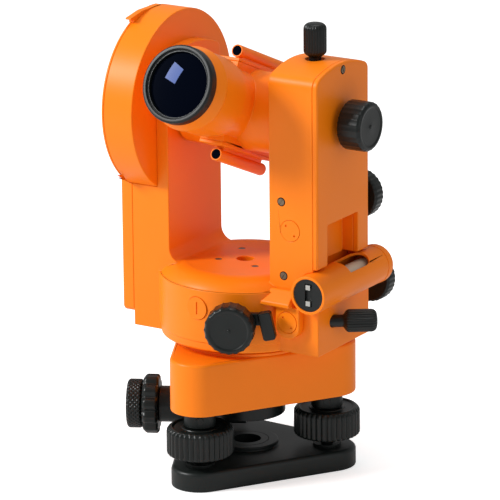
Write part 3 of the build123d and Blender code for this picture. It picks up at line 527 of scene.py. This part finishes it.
footLook = dict(grip=14.0, shaft=3.1, edge=1.6, backIn=0.8, dish=0.8, dot=9.0, segments=36 * 8,
                shape=lambda full: flutes(36, 0.75, full, 1.6))
limbTangentLook = dict(grip=7.6, shaft=4.0, edge=1.0, dish=0.7, dot=2.2, segments=240, rows=26,
                       shape=lambda full: checks(34, 2.2, 0.45, full))
limbRingLook = dict(grip=7.8, shaft=7.05, edge=1.4, dish=0.8, dot=8.6, segments=240,
                    shape=lambda full: flutes(11, 1.7, full, 2.2, 2.4))
driveLook = dict(grip=10.5, shaft=2.6, edge=1.3, dish=0.5, dot=0.9, segments=240,
                 shape=lambda full: flats(20, 0.38, full))
focusLook = dict(grip=12.6, shaft=2.6, edge=1.1, dish=0.4, dot=1.2, segments=240, neck=(2.6, 5.0),
                 shape=lambda full: flats(26, 0.18, full))
slowLook = dict(grip=8.0, shaft=2.2, edge=1.2, dish=0.5, dot=2.0, segments=240,
                shape=lambda full: flutes(30, 0.26, full, 1.2))

for letter in "abc":
    knob("footKnob" + letter.upper(), "foot_screw_" + letter, "foot_" + letter + "_turn", footLook)
knob("limbTangent", "limb_tangent_knob", "limb_tangent_turn", limbTangentLook)
knob("limbRing", "limb_clamp_ring", "limb_clamp_turn", limbRingLook)
knob("driveKnob", "circle_drive_knob", "circle_drive_turn", driveLook)
knob("focusKnob", "focus_knob", "focus_turn", focusLook)
knob("tiltTangent", "tilt_tangent_knob", "tilt_tangent_turn", slowLook)
knob("baseTangent", "base_tangent_knob", "base_tangent_turn", slowLook)

clampLook = dict(taper=1.6, grip=15.0, neck=3.0, flutes=24, depth=0.32, sharp=1.5, perFlute=12,
                 shoulder=1.0, shoulderIn=0.4, domeFrom=2.0, domeStep=0.5, domeIn=1.3, crownIn=3.4)


def clampKnob(name, node, joint):
    # a slim knob: spindle, neck, taper, fluted grip and a rounded top
    look = clampLook
    origin, axis = onJoint(joint)
    low, high, full = span(node, origin, axis)
    back = high - look["grip"]
    profile = rounded([
        (low, 0.0, 0), (low, look["neck"], 0.2), (back - look["taper"], look["neck"], 0.6),
        (back, full - look["shoulderIn"], 0.9), (back + look["shoulder"], full, 0.6),
        (high - look["domeFrom"], full, 1.2), (high - look["domeStep"], full - look["domeIn"], 0.8),
        (high, full - look["crownIn"], 0.8), (high, 0.0, 0)])
    grooves = flutes(look["flutes"], look["depth"], full, look["sharp"])
    piece = turned(name, profile, origin, axis, look["flutes"] * look["perFlute"], grooves)
    return finish(piece, "black_knob", bodyOf[node], node)


clampKnob("tiltClamp", "tilt_clamp_knob", "tilt_clamp_turn")
clampKnob("baseClamp", "base_clamp_knob", "base_clamp_turn")
print("knobs done")

# recess rings round the slotted screws of the case: near-black rings of painted shade, standing for the shade in
# the recess round each head
recessShadeLook = dict(inner=1.7, outer=2.2, proud=0.04, slope=0.1, sunk=0.2, segments=40)


def islands(node):
    # the separate solids of a CAD node, each as an array of its corners in mm
    work = merged(node)
    left, found = set(work.verts), []
    while left:
        queue, part = [left.pop()], []
        while queue:
            vertex = queue.pop()
            part.append(tuple(vertex.co))
            near = {edge.other_vert(vertex) for edge in vertex.link_edges} & left
            left -= near
            queue += near
        found.append(np.array(part) / mm)
    work.free()
    return found


def recessShadeRing(name, corners):
    # a thin near-black ring of painted shade on the outward end of a screw, whose axis is the shortest side of its
    # box
    look = recessShadeLook
    low, high = corners.min(0), corners.max(0)
    middle = (low + high) / 2
    side = int(np.argmin(high - low))
    outward = np.zeros(3)
    outward[side] = 1.0 if middle[side] > 0.0 else -1.0
    face = middle + outward * ((high - low)[side] / 2 - look["sunk"])
    ring = np.array([(0.0, look["inner"]), (look["proud"], look["inner"]),
                     (look["proud"], look["outer"] - look["slope"]), (0.0, look["outer"]),
                     (0.0, look["inner"])])
    finish(turned(name, ring, face, outward, look["segments"]), deepBlack, "alidade")


for index, corners in enumerate(islands("case_screws")):
    recessShadeRing("screwRecessShade" + str(index), corners)
print("recess rings done")

# telescope: profiles along its pointing, from the CAD nodes' own ends and radii
centre, pointing = onJoint("telescope_tilt")[0], np.array(joints["focus_slide"]["axis"])
cellBack, cellFront, cellRadius = span("objective_cell", centre, pointing)
lensBack, lensFront, lensRadius = span("objective_lens", centre, pointing)

cellLook = dict(rim=1.2, land=2.0, step=0.9, chamfer=0.5, seat=2.0, seatFront=1.0, mouth=1.2, mouthOut=0.25,
                fine=0.2, lip=0.1, steps=5, segments=128)


def objectiveCell():
    # the cell: rounded rim, flat land, a step down to the mouth and a seat behind the lens
    look = cellLook
    seat, land = lensRadius - look["seat"], cellRadius - look["land"]
    profile = rounded([
        (cellBack, seat, 0), (cellBack, cellRadius - look["chamfer"], look["fine"]),
        (cellBack + look["chamfer"], cellRadius, look["fine"]), (cellFront, cellRadius, look["rim"]),
        (cellFront, land, look["fine"]), (cellFront - look["step"], land - 0.2, look["fine"]),
        (cellFront - look["mouth"], lensRadius + look["mouthOut"], look["fine"]),
        (lensBack + look["seatFront"], lensRadius, look["lip"]), (lensBack, lensRadius, look["lip"]),
        (lensBack, seat, 0), (cellBack, seat, 0)], look["steps"])
    cell = turned("objectiveCell", profile, centre, pointing, look["segments"])
    finish(cell, "black_cell", "telescope", "objective_cell")


ringLook = dict(back=1.15, thick=0.5, outer=0.75, inner=0.3, foot=0.25, tilt=0.05, edge=0.1, segments=128)


def objectiveRing():
    # the thin pale ring round the lens; its radii are what they stand out from the lens
    look = ringLook
    front = cellFront - look["back"]
    foot, outer = front - look["thick"], lensRadius + look["outer"]
    profile = rounded([
        (foot, outer, 0), (front, outer, look["edge"]),
        (front + look["tilt"], lensRadius + look["inner"], look["edge"]),
        (foot, lensRadius + look["foot"], 0), (foot, outer, 0)])
    ring = turned("objectiveRing", profile, centre, pointing, look["segments"])
    finish(ring, paleMetal, "telescope", slot="steel")


lensLook = dict(rows=24, wall=2.2, gap=0.05, belly=0.6, segments=128)


def objectiveLens():
    # a lens whose front falls off as the square of the distance from its middle; its opaque near-black glass is
    # painted shade for the barrel behind it
    look = lensLook
    t = np.linspace(0.0, 1.0, look["rows"])[:, None]
    sag = lensFront - lensBack - look["wall"]
    radius = lensRadius - look["gap"]
    front = np.concatenate([lensFront - sag * t ** 2, radius * t], 1)
    profile = np.concatenate([front, [[lensBack, radius], [lensBack - look["belly"], 0.0]]])[::-1]
    lens = turned("objectiveLens", profile, centre, pointing, look["segments"])
    finish(lens, lensGlass, "telescope", "objective_lens", slot="coated_glass")


liningLook = dict(radius=13.9, back=20.0, pitch=2.0, rib=1.0, depth=0.9, end=0.6, wall=0.05, segments=96)


def barrelLining():
    # the ribbed lining of the barrel, a saw-tooth of ribs closed by a thin wall behind
    look = liningLook
    radius, wall = look["radius"], look["radius"] + look["wall"]
    start = np.arange(look["back"], cellBack, look["pitch"])
    crest = np.stack([start, np.full_like(start, radius)], 1)
    hollow = np.stack([start + look["rib"], np.full_like(start, radius - look["depth"])], 1)
    ribs = np.stack([crest, hollow], 1).reshape(-1, 2)
    ends = [[cellBack, radius - look["end"]], [cellBack, wall], [look["back"], wall]]
    profile = np.concatenate([ribs, ends, ribs[:1]])
    finish(turned("barrelLining", profile, centre, pointing, look["segments"]), deepBlack, "telescope")


objectiveCell()
objectiveRing()
objectiveLens()
barrelLining()
print("telescope done")

# light, floor and camera
floorLook = dict(half=3.0, below=0.05, colour=(0.90, 0.90, 0.90), rough=0.8, lift=0.55)
mesh = bpy.data.meshes.new("floor")
half, depth = floorLook["half"], -floorLook["below"] * mm
corners = [(-half, -half, depth), (half, -half, depth), (half, half, depth), (-half, half, depth)]
mesh.from_pydata(corners, [], [(0, 1, 2, 3)])
floor = bpy.data.objects.new("floor", mesh)
bpy.context.scene.collection.objects.link(floor)
floorPaint = bpy.data.materials.new("floorPaint")
floorPaint.use_nodes = True
paint = floorPaint.node_tree
floorShader = paint.nodes["Principled BSDF"]
floorShader.inputs["Base Color"].default_value = (*floorLook["colour"], 1.0)
floorShader.inputs["Roughness"].default_value = floorLook["rough"]
floorShader.inputs["Emission Color"].default_value = (1.0, 1.0, 1.0, 1.0)
glow = addNode(paint, "LightPath")
lift = mathNode(paint, "MULTIPLY", glow.outputs["Is Camera Ray"], floorLook["lift"])
paint.links.new(lift, floorShader.inputs["Emission Strength"])
setMaterial(floor, floorPaint)

bpy.context.scene.view_settings.view_transform = "Standard"
world = bpy.data.worlds.new("studio")
bpy.context.scene.world = world
world.use_nodes = True
sky = world.node_tree
seen = addNode(sky, "LightPath")
background = sky.nodes["Background"]
background.inputs["Color"].default_value = (1.0, 1.0, 1.0, 1.0)
skyLook = dict(ambient=0.37, backdrop=1.0)
backdrop = mathNode(sky, "MULTIPLY", seen.outputs["Is Camera Ray"], skyLook["backdrop"] - skyLook["ambient"])
sky.links.new(mathNode(sky, "ADD", backdrop, skyLook["ambient"]), background.inputs["Strength"])

cameraLook = dict(turn=32.15, rise=16.33, roll=-0.54, lens=298.8, distance=2031.8,
                  aim=(-1.41, 0.0, 109.3), right=3.515, up=-0.304)


def aimed(look):
    # camera axes from its turn about Z, its rise and its roll; it looks back along the third of them
    turn, rise, roll = (np.radians(look[key]) for key in ("turn", "rise", "roll"))
    away = np.array((np.sin(turn) * np.cos(rise), -np.cos(turn) * np.cos(rise), np.sin(rise)))
    right = np.array((np.cos(turn), np.sin(turn), 0.0))
    up = np.cross(away, right)
    return right * np.cos(roll) + up * np.sin(roll), up * np.cos(roll) - right * np.sin(roll), away


right, up, away = aimed(cameraLook)
offset = right * cameraLook["right"] + up * cameraLook["up"]
place = np.array(cameraLook["aim"]) + offset + away * cameraLook["distance"]
data = bpy.data.cameras.new("camera")
data.lens = cameraLook["lens"]
data.sensor_width = 36.0
data.clip_end = 20.0
camera = bpy.data.objects.new("camera", data)
bpy.context.scene.collection.objects.link(camera)
matrix = np.eye(4)
matrix[:3, 0], matrix[:3, 1], matrix[:3, 2], matrix[:3, 3] = right, up, away, place * mm
camera.matrix_world = Matrix(matrix.tolist())
bpy.context.scene.camera = camera

lampAim = Vector((0.0, 0.0, 0.11))
lamps = dict(
    keyLight=dict(place=(-1.00, -1.02, 1.05), size=0.42, power=24.5),
    fillLight=dict(place=(1.7, -0.5, 0.7), size=0.8, power=2.4),
    topLight=dict(place=(0.0, 0.2, 1.5), size=0.8, power=6.5),
)
for name, look in lamps.items():
    lamp = bpy.data.lights.new(name, "AREA")
    lamp.shape = "SQUARE"
    lamp.size = look["size"]
    lamp.energy = look["power"]
    light = bpy.data.objects.new(name, lamp)
    light.location = look["place"]
    light.rotation_euler = (lampAim - light.location).to_track_quat("-Z", "Y").to_euler()
    bpy.context.scene.collection.objects.link(light)
print("stage done")

bpy.context.view_layer.update()
